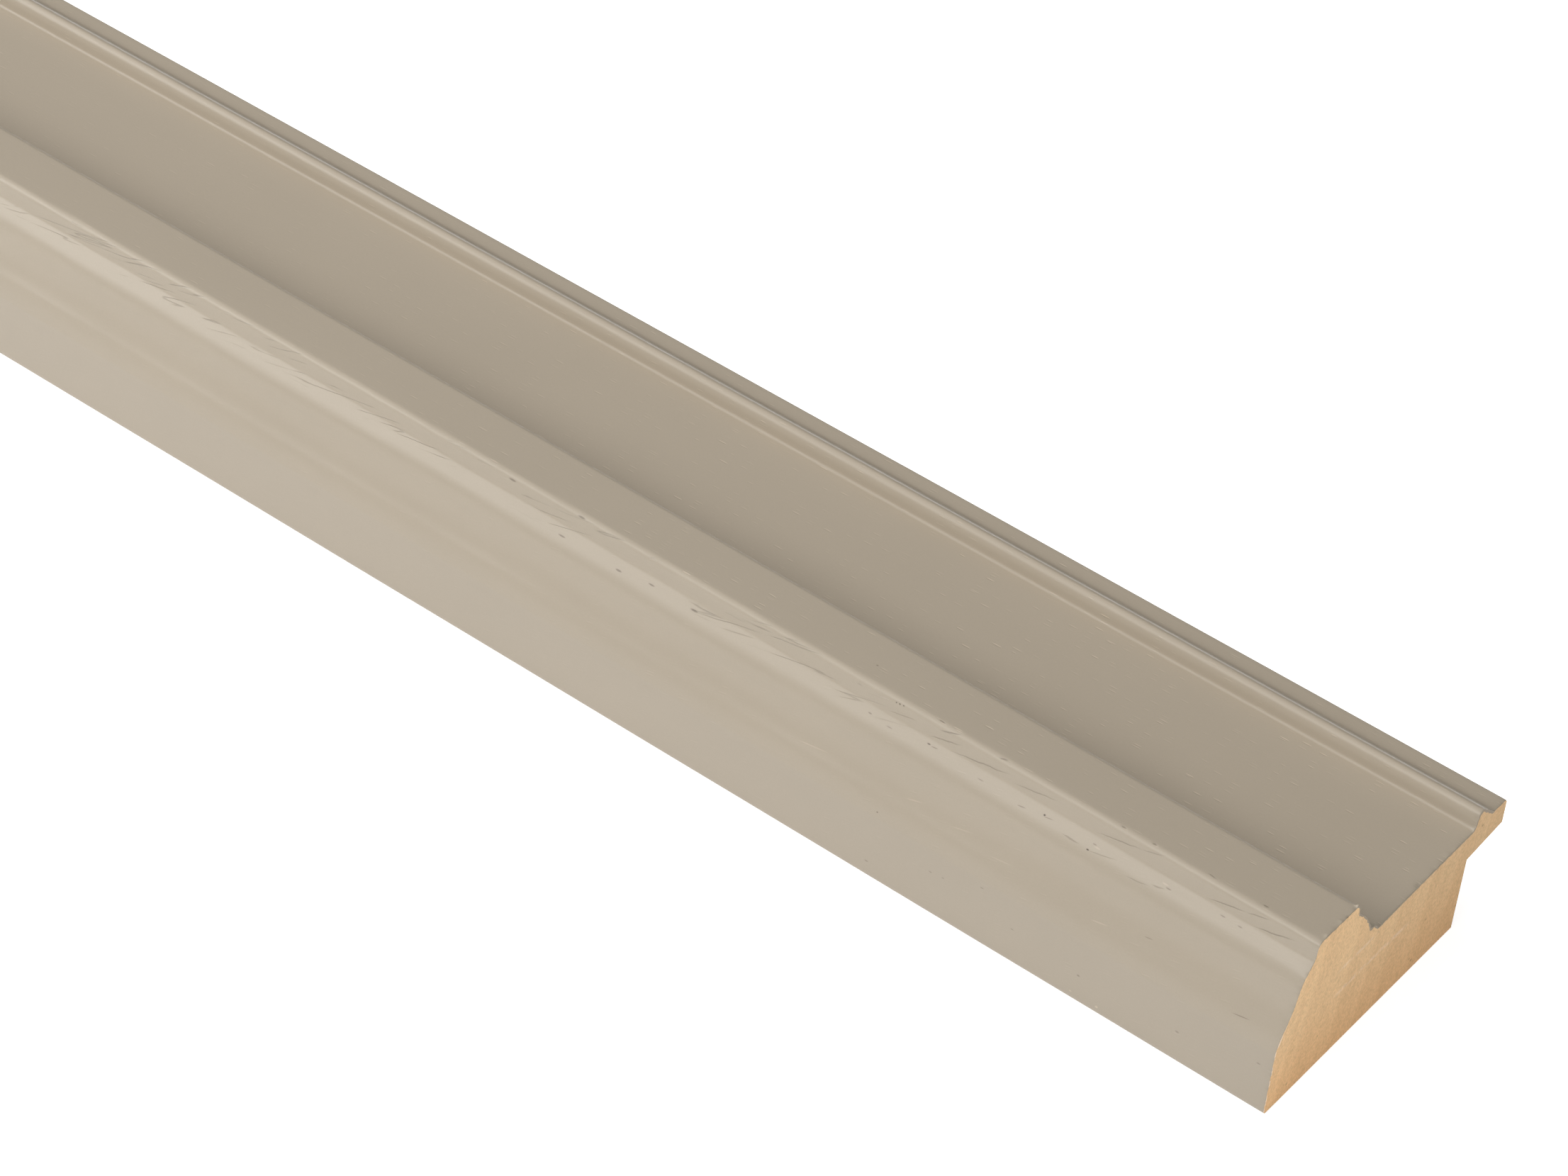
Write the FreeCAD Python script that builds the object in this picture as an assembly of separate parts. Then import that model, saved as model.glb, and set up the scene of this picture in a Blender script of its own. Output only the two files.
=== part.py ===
import FreeCAD, Part
import os

# A straight stick of wooden picture frame moulding, all one piece of wood.
# The stick lies on its back along X, with the square cut of the photograph at +X.
# The plain outer side faces -Y and the sight edge, which borders the picture, faces +Y.
# The origin is in the middle of the back. Every size is in millimetres.

# The stick
stick_length = 1000.0
stick_width = 40.0
crown_height = 19.6
sight_height = 13.2

# The outer side: an eased foot, a plain face, a roll, a hollow, a swell, a slope and a riser
foot_radius = 0.6
roll_width = 0.95
roll_height = 2.4
roll_bulge = 0.11
hollow_width = 1.45
hollow_height = 3.4
hollow_sink = 0.15
swell_width = 0.95
swell_height = 2.15
swell_bulge = 0.15
slope_width = 1.05
slope_height = 1.17
riser_lean = 0.2
riser_height = 2.08
riser_radius = 0.8

# The crown, the flat top of the tall side, and the quirk that parts it from the ovolo
crown_width = 7.3
crown_radius = 1.0
quirk_depth = 1.5

# The ovolo that falls from the crown to the panel, and the fillet at its foot
ovolo_width = 3.2
ovolo_bulge = 0.38
fillet_width = 0.6
fillet_height = 0.95
fillet_slope_width = 0.9
fillet_slope_bulge = 0.1

# The wide panel, slightly crowned, which dips towards the ovolo
panel_dip = 0.4
panel_bulge = 0.06

# The bead: a small cove at its foot, a steep wall, a soft nose and top, a crest and a steep back
bead_width = 3.95
bead_height = 2.07
bead_foot_radius = 0.3
bead_wall_height = 1.05
bead_wall_lean = 0.1
bead_nose_width = 0.28
bead_nose_height = 0.67
bead_nose_bulge = 0.02
bead_top_width = 0.45
bead_top_bulge = 0.04
bead_crest_width = 0.65
bead_crest_drop = 0.22
bead_crest_bulge = 0.05

# The cove between the bead and the lip, the lip that covers the picture's edge, and the rabbet
lip_cove_width = 0.55
lip_cove_height = 0.17
lip_cove_sink = 0.04
lip_width = 2.15
lip_thickness = 3.2
lip_radius = 0.5
rabbet_width = 6.4
ledge_rise = 0.6


def corner(across, up):
    """Gives a point of the section from its distances to the outer side and to the back."""
    return FreeCAD.Vector(stick_length / 2, across - stick_width / 2, up)


def flat(start, end):
    """Joins two corners by a flat face, seen as a straight line in the section."""
    return Part.LineSegment(start, end).toShape()


def curve(start, end, bulge):
    """Joins two corners by an arc that stands proud of its chord by bulge, or sinks if it is negative."""
    chord = end - start
    outwards = FreeCAD.Vector(0, -chord.z, chord.y).normalize()
    middle = (start + end) / 2 + outwards * bulge
    return Part.Arc(start, middle, end).toShape()


def quarter_bulge(radius):
    """Gives how far a quarter circle of this radius stands proud of its chord."""
    return radius * (1 - 0.5 ** 0.5)


def outer_side():
    """Draws the section from the eased foot up to the start of the crown."""
    climbs = [
        (roll_width, roll_height, roll_bulge),
        (hollow_width, hollow_height, -hollow_sink),
        (swell_width, swell_height, swell_bulge),
        (slope_width, slope_height, 0),
        (riser_lean, riser_height - riser_radius, 0),
        (riser_radius, riser_radius, quarter_bulge(riser_radius)),
    ]
    side_top = crown_height - sum(height for _, height, _ in climbs)
    foot_end = corner(0, foot_radius)
    start = corner(0, side_top)
    edges = [curve(corner(foot_radius, 0), foot_end, quarter_bulge(foot_radius)), flat(foot_end, start)]
    for width, height, bulge in climbs:
        end = start + FreeCAD.Vector(0, width, height)
        edges.append(curve(start, end, bulge) if bulge else flat(start, end))
        start = end
    return edges, start


def crown_and_ovolo(crown_start):
    """Draws the section from the crown down to the foot of the fillet, where the panel starts."""
    wall_across = crown_start.y + stick_width / 2 - riser_radius + crown_width
    crown_end = corner(wall_across - crown_radius, crown_height)
    wall_top = corner(wall_across, crown_height - crown_radius)
    ovolo_start = corner(wall_across, crown_height - quirk_depth)
    fillet_across = wall_across + ovolo_width
    fillet_up = sight_height - panel_dip + fillet_height
    fillet_start = corner(fillet_across, fillet_up)
    slope_start = corner(fillet_across + fillet_width, fillet_up)
    panel_across = fillet_across + fillet_width + fillet_slope_width
    panel_start = corner(panel_across, sight_height - panel_dip)
    edges = [
        flat(crown_start, crown_end),
        curve(crown_end, wall_top, quarter_bulge(crown_radius)),
        flat(wall_top, ovolo_start),
        curve(ovolo_start, fillet_start, ovolo_bulge),
        flat(fillet_start, slope_start),
        curve(slope_start, panel_start, fillet_slope_bulge),
    ]
    return edges, panel_start


def panel_and_bead(panel_start):
    """Draws the section from the panel over the bead to the start of the lip's flat top."""
    bead_across = stick_width - lip_width - bead_width
    panel_end = corner(bead_across - bead_foot_radius, sight_height)
    wall_foot = corner(bead_across, sight_height + bead_foot_radius)
    wall_top_across = bead_across + bead_wall_lean
    wall_top_up = sight_height + bead_wall_height
    wall_top = corner(wall_top_across, wall_top_up)
    nose_end_across = wall_top_across + bead_nose_width
    nose_end = corner(nose_end_across, wall_top_up + bead_nose_height)
    crest_across = nose_end_across + bead_top_width
    crest_up = sight_height + bead_height
    crest_start = corner(crest_across, crest_up)
    crest_end = corner(crest_across + bead_crest_width, crest_up - bead_crest_drop)
    lip_across = stick_width - lip_width
    cove_start = corner(lip_across - lip_cove_width, sight_height + lip_cove_height)
    lip_start = corner(lip_across, sight_height)
    edges = [
        curve(panel_start, panel_end, panel_bulge),
        curve(panel_end, wall_foot, -quarter_bulge(bead_foot_radius)),
        flat(wall_foot, wall_top),
        curve(wall_top, nose_end, bead_nose_bulge),
        curve(nose_end, crest_start, bead_top_bulge),
        curve(crest_start, crest_end, bead_crest_bulge),
        flat(crest_end, cove_start),
        curve(cove_start, lip_start, -lip_cove_sink),
    ]
    return edges, lip_start


def lip_and_rabbet(lip_start):
    """Draws the section from the lip's flat top round its edge, under it and back to the foot."""
    lip_end = corner(stick_width - lip_radius, sight_height)
    edge_top = corner(stick_width, sight_height - lip_radius)
    ledge_edge_up = sight_height - lip_thickness
    edge_foot = corner(stick_width, ledge_edge_up)
    wall_across = stick_width - rabbet_width
    wall_top = corner(wall_across, ledge_edge_up - ledge_rise)
    wall_foot = corner(wall_across, 0)
    return [
        flat(lip_start, lip_end),
        curve(lip_end, edge_top, quarter_bulge(lip_radius)),
        flat(edge_top, edge_foot),
        flat(edge_foot, wall_top),
        flat(wall_top, wall_foot),
        flat(wall_foot, corner(foot_radius, 0)),
    ]


def moulding():
    """Carries the section along the stick."""
    side_edges, crown_start = outer_side()
    crown_edges, panel_start = crown_and_ovolo(crown_start)
    bead_edges, lip_start = panel_and_bead(panel_start)
    edges = side_edges + crown_edges + bead_edges + lip_and_rabbet(lip_start)
    section = Part.Face(Part.Wire(edges))
    return section.extrude(FreeCAD.Vector(-stick_length, 0, 0))


os.makedirs("parts", exist_ok=True)
stick = moulding()
stick.exportStep("parts/moulding.step")
print("moulding:", len(stick.Solids), "solid,", round(stick.Volume / 1000, 1), "cubic centimetres, valid",
      stick.isValid())
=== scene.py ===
import logging
import math
from dataclasses import dataclass, field
from enum import Enum

import bpy
import numpy as np
from mathutils import Matrix, Vector


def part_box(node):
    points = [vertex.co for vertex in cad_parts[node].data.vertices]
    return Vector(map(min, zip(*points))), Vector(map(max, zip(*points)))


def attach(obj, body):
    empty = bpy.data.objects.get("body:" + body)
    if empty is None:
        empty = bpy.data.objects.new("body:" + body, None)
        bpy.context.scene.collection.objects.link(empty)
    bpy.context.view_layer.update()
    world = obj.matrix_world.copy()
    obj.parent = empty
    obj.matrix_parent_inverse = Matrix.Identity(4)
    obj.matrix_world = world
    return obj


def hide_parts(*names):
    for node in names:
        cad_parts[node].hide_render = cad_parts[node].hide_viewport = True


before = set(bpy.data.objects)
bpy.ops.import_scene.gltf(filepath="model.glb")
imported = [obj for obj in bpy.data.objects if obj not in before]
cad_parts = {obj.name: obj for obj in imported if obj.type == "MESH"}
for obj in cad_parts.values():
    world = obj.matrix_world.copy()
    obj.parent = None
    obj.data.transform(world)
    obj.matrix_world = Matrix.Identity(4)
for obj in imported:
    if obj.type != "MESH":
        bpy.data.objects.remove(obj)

# One millimetre in metres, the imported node, the piece that stands for it and its surface map
MM = 0.001
NODE = "moulding"
PIECE = "moulding_stick"
LAY = "lay"
LOG = logging.getLogger("moulding")

Colour = tuple[float, float, float]
Pair = tuple[float, float]


class Skin(Enum):
    """The surfaces of the stick. The value is the number of the material slot."""

    PAINT = 0
    BARE = 1
    CUT = 2
    COAT = 3


@dataclass(frozen=True)
class Stroke:
    """One stretch of the section: its end as (across, up), its bulge and its skin.

    The bulge is how far it stands proud of its chord, or sinks if it is negative. It starts
    where the stretch before it ends.
    """

    name: str
    end: Pair
    bulge: float = 0.0
    skin: Skin = Skin.PAINT

    def trace(self, start: np.ndarray, pitch: float) -> tuple[np.ndarray, float]:
        """Samples the stretch evenly, without its end.

        A straight stretch is its start plus shares of its chord. An arc with bulge b over a chord
        c has the radius (c*c/4 + b*b) / 2b, and its points are the centre plus that radius along
        evenly turned directions.

        Args:
            start: its start, as (across, up).
            pitch: the greatest distance between two points.

        Returns:
            The points (n, 2) and the length of the stretch.
        """
        end = np.array(self.end, float)
        chord = end - start
        length = float(np.hypot(*chord))
        steps = max(4, math.ceil(length / pitch))
        t = np.arange(steps) / steps
        if not self.bulge:
            return start + np.outer(t, chord), length
        along = chord / length
        outwards = np.array([-along[1], along[0]])
        radius = (length * length / 4 + self.bulge * self.bulge) / (2 * self.bulge)
        half = math.asin(length / 2 / radius)
        turn = (2 * t - 1) * half
        centre = (start + end) / 2 + outwards * (self.bulge - radius)
        spokes = np.outer(np.sin(turn), along) + np.outer(np.cos(turn), outwards)
        return centre + radius * spokes, abs(2 * half * radius)


@dataclass
class Ring:
    """One closed turn round the section: its points, girths, outward directions and skins."""

    points: np.ndarray
    girth: np.ndarray
    outwards: np.ndarray
    skin: np.ndarray


@dataclass
class Section:
    """The milled section of the stick, in millimetres from its outer side and its back.

    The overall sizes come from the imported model, and the others are the source's own sizes.
    """

    width: float
    crown_height: float
    sight_height: float = 13.2
    foot_radius: float = 0.6
    roll_width: float = 0.95
    roll_height: float = 2.4
    roll_bulge: float = 0.11
    hollow_width: float = 1.45
    hollow_height: float = 3.4
    hollow_sink: float = 0.15
    swell_width: float = 0.95
    swell_height: float = 2.15
    swell_bulge: float = 0.15
    slope_width: float = 1.05
    slope_height: float = 1.17
    riser_lean: float = 0.2
    riser_height: float = 2.08
    riser_radius: float = 0.8
    crown_width: float = 7.3
    crown_radius: float = 1.0
    quirk_depth: float = 1.5
    ovolo_width: float = 3.2
    ovolo_bulge: float = 0.38
    fillet_width: float = 0.6
    fillet_height: float = 0.95
    fillet_slope_width: float = 0.9
    fillet_slope_bulge: float = 0.1
    panel_dip: float = 0.4
    panel_bulge: float = 0.06
    bead_width: float = 3.95
    bead_height: float = 2.07
    bead_foot_radius: float = 0.3
    bead_wall_height: float = 1.05
    bead_wall_lean: float = 0.1
    bead_nose_width: float = 0.28
    bead_nose_height: float = 0.67
    bead_nose_bulge: float = 0.02
    bead_top_width: float = 0.45
    bead_top_bulge: float = 0.04
    bead_crest_width: float = 0.65
    bead_crest_drop: float = 0.22
    bead_crest_bulge: float = 0.05
    lip_width: float = 2.15
    lip_cove_width: float = 0.55
    lip_cove_height: float = 0.17
    lip_cove_sink: float = 0.04
    lip_thickness: float = 3.2
    lip_radius: float = 0.5
    rabbet_width: float = 6.4
    ledge_rise: float = 0.6

    # How the outline is sampled and rounded, and how far apart the points are that are kept
    sample: float = 0.02
    paint_softening: float = 0.1
    bell_reach: float = 4.0
    tangent_span: int = 3
    paint_pitch: float = 0.16
    round_pitch: float = 0.09
    round_bulge: float = 0.1
    bare_pitch: float = 1.1
    corner_gap: float = 0.12

    # The depth of the ground and paint at the start of each stretch, and the girths found
    coat_depths: tuple[tuple[str, float], ...] = (
        ("ridge", 0.0), ("crown", 0.08), ("crown_edge", 0.06), ("quirk", 0.2), ("ovolo", 0.16),
        ("fillet", 0.24), ("panel", 0.22), ("bead_foot", 0.22), ("bead_top", 0.34),
        ("bead_crest", 0.34), ("bead_back", 0.34), ("lip_cove", 0.3), ("lip", 0.08),
        ("lip_round", 0.0))
    marks: dict[str, float] = field(default_factory=dict)

    def strokes(self) -> list[Stroke]:
        """Lists the section's stretches in order, from the foot up and round to the foot again.

        Returns:
            The stretches, of which the first one starts on the back beside the foot.
        """
        riser_up = self.crown_height - self.riser_height
        painted_shading_up = riser_up - self.slope_height
        swell_up = painted_shading_up - self.swell_height
        roll_up = swell_up - self.hollow_height
        swell = self.roll_width + self.hollow_width
        outer_slope = swell + self.swell_width
        riser_foot = outer_slope + self.slope_width
        riser = riser_foot + self.riser_lean
        wall = riser + self.crown_width
        fillet = wall + self.ovolo_width
        panel_up = self.sight_height - self.panel_dip
        fillet_up = panel_up + self.fillet_height
        slope = fillet + self.fillet_width
        lip = self.width - self.lip_width
        bead = lip - self.bead_width
        bead_wall = bead + self.bead_wall_lean
        bead_top = bead_wall + self.bead_nose_width
        bead_crest = bead_top + self.bead_top_width
        bead_wall_up = self.sight_height + self.bead_wall_height
        bead_up = self.sight_height + self.bead_height
        ledge_up = self.sight_height - self.lip_thickness
        rabbet = self.width - self.rabbet_width
        return [
            Stroke("foot", (0, self.foot_radius), quarter_bulge(self.foot_radius)),
            Stroke("side", (0, roll_up - self.roll_height)),
            Stroke("roll", (self.roll_width, roll_up), self.roll_bulge),
            Stroke("hollow", (swell, swell_up), -self.hollow_sink),
            Stroke("swell", (outer_slope, painted_shading_up), self.swell_bulge),
            Stroke("slope", (riser_foot, riser_up)),
            Stroke("riser", (riser, self.crown_height - self.riser_radius)),
            Stroke("ridge", (riser + self.riser_radius, self.crown_height),
                   quarter_bulge(self.riser_radius)),
            Stroke("crown", (wall - self.crown_radius, self.crown_height)),
            Stroke("crown_edge", (wall, self.crown_height - self.crown_radius),
                   quarter_bulge(self.crown_radius)),
            Stroke("quirk", (wall, self.crown_height - self.quirk_depth)),
            Stroke("ovolo", (fillet, fillet_up), self.ovolo_bulge),
            Stroke("fillet", (slope, fillet_up)),
            Stroke("fillet_slope", (slope + self.fillet_slope_width, panel_up),
                   self.fillet_slope_bulge),
            Stroke("panel", (bead - self.bead_foot_radius, self.sight_height), self.panel_bulge),
            Stroke("bead_foot", (bead, self.sight_height + self.bead_foot_radius),
                   -quarter_bulge(self.bead_foot_radius)),
            Stroke("bead_wall", (bead_wall, bead_wall_up)),
            Stroke("bead_nose", (bead_top, bead_wall_up + self.bead_nose_height),
                   self.bead_nose_bulge),
            Stroke("bead_top", (bead_crest, bead_up), self.bead_top_bulge),
            Stroke("bead_crest", (bead_crest + self.bead_crest_width, bead_up - self.bead_crest_drop),
                   self.bead_crest_bulge),
            Stroke("bead_back", (lip - self.lip_cove_width, self.sight_height + self.lip_cove_height)),
            Stroke("lip_cove", (lip, self.sight_height), -self.lip_cove_sink),
            Stroke("lip", (self.width - self.lip_radius, self.sight_height)),
            Stroke("lip_round", (self.width, self.sight_height - self.lip_radius),
                   quarter_bulge(self.lip_radius)),
            Stroke("sight_edge", (self.width, ledge_up)),
            Stroke("ledge", (rabbet, ledge_up - self.ledge_rise), 0, Skin.BARE),
            Stroke("rabbet_wall", (rabbet, 0), 0, Skin.BARE),
            Stroke("back", (self.foot_radius, 0), 0, Skin.BARE),
        ]

    def outline(self) -> tuple[np.ndarray, np.ndarray, np.ndarray]:
        """Samples the strokes closely, and notes in marks the girth at which each one starts.

        Returns:
            The points (n, 2), the number of each point's skin (n,) and its pitch (n,).
        """
        points, skins, pitches = [], [], []
        start = np.array([self.foot_radius, 0.0])
        girth = 0.0
        for stroke in self.strokes():
            run, length = stroke.trace(start, self.sample)
            pitch = self.round_pitch if abs(stroke.bulge) >= self.round_bulge else self.paint_pitch
            if stroke.skin is Skin.BARE:
                pitch = self.bare_pitch
            self.marks[stroke.name] = girth
            girth += length
            points.append(run)
            skins.append(np.full(len(run), stroke.skin.value))
            pitches.append(np.full(len(run), pitch))
            start = np.array(stroke.end, float)
        self.marks["girth"] = girth
        return np.concatenate(points), np.concatenate(skins), np.concatenate(pitches)

    def softened(self) -> Ring:
        """Rounds the outline as the paint film does, and keeps only the points that it needs.

        The rounding is a weighted mean of each point's neighbours, with weights that fall off as
        a bell curve of the distance along the outline. The bare wood stays sharp.

        Returns:
            The closed ring of points with their girths, outward directions and skins.
        """
        points, skins, pitches = self.outline()
        step = np.hypot(*np.diff(points, axis=0, append=points[:1]).T)
        girth = np.concatenate([[0], np.cumsum(step)[:-1]])
        total = girth[-1] + step[-1]
        count = int(total / self.sample)
        even = np.arange(count) * total / count
        closed = np.append(girth, total)
        fine = np.stack([np.interp(even, closed, np.append(points[:, k], points[0, k]))
                         for k in (0, 1)], 1)
        reach = int(self.bell_reach * self.paint_softening / self.sample)
        bell = np.exp(-0.5 * (np.arange(-reach, reach + 1) * self.sample / self.paint_softening) ** 2)
        bell /= bell.sum()
        padded = np.concatenate([fine[-reach:], fine, fine[:reach]])
        soft = np.stack([np.convolve(padded[:, k], bell, "valid") for k in (0, 1)], 1)
        sharp = np.interp(even, girth, skins == Skin.BARE.value)[:, None]
        soft = soft * (1 - sharp) + fine * sharp
        density = np.cumsum(self.sample / np.interp(even, girth, pitches))
        wanted = np.interp(np.arange(int(density[-1])), density, np.arange(count))
        pick = np.unique(np.round(wanted).astype(int))
        for name in ("ledge", "rabbet_wall", "back"):
            corner = int(np.argmin(np.abs(even - self.marks[name])))
            pick = pick[np.abs(even[pick] - self.marks[name]) > self.corner_gap]
            pick = np.union1d(pick, [corner])
        span = self.tangent_span
        tangent = (np.roll(soft, -span, 0) - np.roll(soft, span, 0))[pick]
        tangent /= np.hypot(*tangent.T)[:, None]
        skin = skins[np.searchsorted(girth, even[pick], "right") - 1]
        return Ring(soft[pick], even[pick], np.stack([-tangent[:, 1], tangent[:, 0]], 1), skin)

    def coat(self, girth: np.ndarray) -> np.ndarray:
        """Gives the depth of the ground and paint on the wood at each girth, in millimetres."""
        places = [self.marks[name] for name, _ in self.coat_depths]
        return np.interp(girth, places, [depth for _, depth in self.coat_depths], left=0, right=0)


def quarter_bulge(radius: float) -> float:
    """Gives how far a quarter circle of this radius stands proud of its chord."""
    return radius * (1 - math.sqrt(0.5))


def step(value: np.ndarray, low: float, high: float) -> np.ndarray:
    """Rises smoothly from 0 at low to 1 at high, as t * t * (3 - 2t)."""
    t = np.clip((value - low) / (high - low), 0, 1)
    return t * t * (3 - 2 * t)


@dataclass(frozen=True)
class Waves:
    """Gentle unevenness: crossing waves over the unrolled surface, in millimetres."""

    height: float
    along: Pair
    across: Pair
    number: int
    seed: int

    def spread(self, distance: np.ndarray, girth: np.ndarray) -> np.ndarray:
        """Adds up the waves.

        Each wave is sin(2 pi (d / a + s / b) + p), with d the distance from the cut, s the girth,
        and its lengths a and b and its start p drawn at random from the given ranges.

        Args:
            distance: the rows' distances from the cut.
            girth: the columns' girths.

        Returns:
            The height above the plain surface, one row for each distance.
        """
        draw = np.random.default_rng(self.seed)
        total = np.zeros((len(distance), len(girth)))
        for _ in range(self.number):
            along = draw.uniform(*self.along)
            across = draw.uniform(*self.across) * draw.choice([-1, 1])
            turn = distance[:, None] / along + girth[None, :] / across
            total += np.sin(2 * math.pi * turn + draw.uniform(0, 2 * math.pi))
        return total * self.height / math.sqrt(self.number)


@dataclass(frozen=True)
class Splinter:
    """A torn fibre that stands up at the cut's edge, in millimetres, beyond a stretch's start."""

    stretch: str
    beyond: float
    height: float
    width: float


@dataclass
class Patch:
    """A part of the mesh: new points in mm, faces, each face's skin and each corner's place."""

    points: np.ndarray
    faces: list[tuple[int, ...]]
    skins: np.ndarray
    lay: np.ndarray


@dataclass
class Stick:
    """The stick of moulding: its section carried along its length, with the relief of its wood.

    All sizes are in millimetres. The distance runs along the stick from the cut at +X, and the
    girth round the section from the back beside the foot.
    """

    section: Section
    length: float

    # The rows near an end, those along the length that the photograph shows, and those beyond
    end_rows: tuple[float, ...] = (0, 0.06, 0.14, 0.25, 0.4, 0.65, 1.0, 1.6, 2.6)
    shown: Pair = (4.0, 205.0)
    shown_pitch: float = 1.6
    far_gaps: Pair = (2.0, 3.0)
    far_rows: int = 34

    # The relief: slow waves all over, stronger ones on the ogee and the ridge, and a chewed end
    slow: Waves = Waves(0.006, (30, 90), (7, 20), 7, 11)
    ogee: Waves = Waves(0.01, (18, 70), (3, 8), 9, 5)
    ridge: Waves = Waves(0.01, (5, 20), (1.4, 3), 8, 8)
    chewed: Waves = Waves(0.07, (40, 60), (0.5, 2.4), 6, 3)
    chew_reach: float = 0.22
    splinter_reach: float = 0.3
    splinters: tuple[Splinter, ...] = (
        Splinter("crown_edge", 0.35, 0.3, 0.1),
        Splinter("crown", 0.6, 0.1, 0.3),
        Splinter("crown", 3.1, 0.06, 0.2),
        Splinter("fillet", 0.15, 0.22, 0.1),
        Splinter("fillet_slope", 0.9, 0.16, 0.12),
        Splinter("panel", 7.2, -0.12, 0.3),
        Splinter("panel", 12.4, 0.05, 0.25),
        Splinter("bead_foot", 0.25, 0.14, 0.1),
        Splinter("bead_nose", 0.3, -0.14, 0.14),
        Splinter("bead_crest", 0.2, 0.1, 0.12),
    )

    # The frayed inner edge of the coat at the near and at the far end
    frays: tuple[Waves, Waves] = (Waves(0.05, (9, 10), (0.4, 1.6), 6, 21),
                                  Waves(0.05, (9, 10), (0.4, 1.6), 6, 22))
    least_coat: float = 0.02
    coat_smoothing: int = 9
    ring: Ring = field(init=False)

    def __post_init__(self) -> None:
        """Works out the softened section."""
        self.ring = self.section.softened()

    def stations(self) -> np.ndarray:
        """Spaces the rows: closely at the cut, evenly where shown, and ever wider beyond.

        Returns:
            The distances from the cut at which the section is drawn. The other end has every
            third of the end's rows.
        """
        near = np.array(self.end_rows)
        shown = np.arange(*self.shown, self.shown_pitch)
        first, last = self.far_gaps
        far = shown[-1] + np.geomspace(first, self.length - shown[-1] - last, self.far_rows)
        return np.concatenate([near, shown, far, self.length - near[::-3]])

    def relief(self, distance: np.ndarray) -> np.ndarray:
        """Gives how far the painted surface stands from the plain section.

        Slow waves left by the cutters run all over it, and stronger ones along the ogee and the
        ridge. The last half millimetre before either end is chewed back by the saw, by the waves'
        absolute value, and a few fibres stand up at the cut as narrow bells.

        Args:
            distance: the rows' distances from the cut.

        Returns:
            The outward height in millimetres, one row for each distance.
        """
        girth, marks = self.ring.girth, self.section.marks
        on_ogee = (step(girth, marks["roll"], marks["hollow"])
                   * (1 - step(girth, marks["riser"] - 0.7, marks["riser"] - 0.2)))
        on_ridge = (step(girth, marks["riser"] - 1.5, marks["riser"] - 0.3)
                    * (1 - step(girth, marks["crown"] - 0.3, marks["crown"] + 0.2)))
        height = (self.slow.spread(distance, girth) + self.ogee.spread(distance, girth) * on_ogee
                  + self.ridge.spread(distance, girth) * on_ridge)
        end = np.minimum(distance, self.length - distance)[:, None]
        height -= np.abs(self.chewed.spread(distance, girth)) * np.exp(-end / self.chew_reach)
        fade = np.exp(-(distance[:, None] / self.splinter_reach) ** 2)
        for splinter in self.splinters:
            place = marks[splinter.stretch] + splinter.beyond
            height += splinter.height * np.exp(-((girth - place) / splinter.width) ** 2) * fade
        return height * (self.ring.skin == Skin.PAINT.value)

    def sides(self, distance: np.ndarray) -> Patch:
        """Carries the ring along the stick, each point moved outwards by the relief.

        Args:
            distance: the rows' distances from the cut.

        Returns:
            The rows of points with a quad between each four neighbours.
        """
        ring = self.ring
        rows, count = len(distance), len(ring.points)
        height = self.relief(distance)
        grid = np.empty((rows, count, 3))
        grid[:, :, 0] = (self.length / 2 - distance)[:, None]
        grid[:, :, 1] = ring.points[:, 0] + ring.outwards[:, 0] * height - self.section.width / 2
        grid[:, :, 2] = ring.points[:, 1] + ring.outwards[:, 1] * height
        index = np.arange(rows * count).reshape(rows, count)
        after = np.roll(index, -1, 1)
        quads = np.stack([index[:-1], after[:-1], after[1:], index[1:]], -1).reshape(-1, 4)
        girth = np.append(ring.girth, self.section.marks["girth"])
        left, right = np.tile(girth[:-1], rows - 1), np.tile(girth[1:], rows - 1)
        upper, lower = np.repeat(distance[:-1], count), np.repeat(distance[1:], count)
        lay = np.stack([upper, left, upper, right, lower, right, lower, left], 1).reshape(-1, 2)
        faces = [tuple(quad) for quad in quads.tolist()]
        return Patch(grid.reshape(-1, 3), faces, np.tile(ring.skin, rows - 1), lay)

    def cap(self, distance: float, first: int, spare: int) -> Patch:
        """Makes one cut end: a band of coat along its upper edge and the wood inside it.

        The band's inner edge lies as deep below each point of the ring as the coat is thick, plus
        the fray. A wedge closes the band at each of its ends.

        Args:
            distance: the end's distance from the cut, which is 0 at the cut itself.
            first: the number of the end row's first point.
            spare: the number of the next free point.

        Returns:
            The points of the inner edge, the band's faces and the face of the wood.
        """
        ring, count = self.ring, len(self.ring.points)
        near = distance == 0
        fray = self.frays[0 if near else 1].spread(np.zeros(1), ring.girth)[0]
        depth = self.section.coat(ring.girth)
        depth = np.where(depth > self.least_coat, np.maximum(depth + fray, self.least_coat), 0)
        bell = np.hanning(self.coat_smoothing) / np.hanning(self.coat_smoothing).sum()
        margin = self.coat_smoothing // 2
        smooth = np.stack([np.convolve(np.pad(ring.outwards[:, k], margin, "wrap"), bell, "valid")
                           for k in (0, 1)], 1)
        smooth /= np.hypot(*smooth.T)[:, None]
        own = np.flatnonzero(depth)
        inside = (ring.points - smooth * depth[:, None])[own]
        x = np.full(len(own), self.length / 2 - distance)
        points = np.stack([x, inside[:, 0] - self.section.width / 2, inside[:, 1]], 1)

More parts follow.
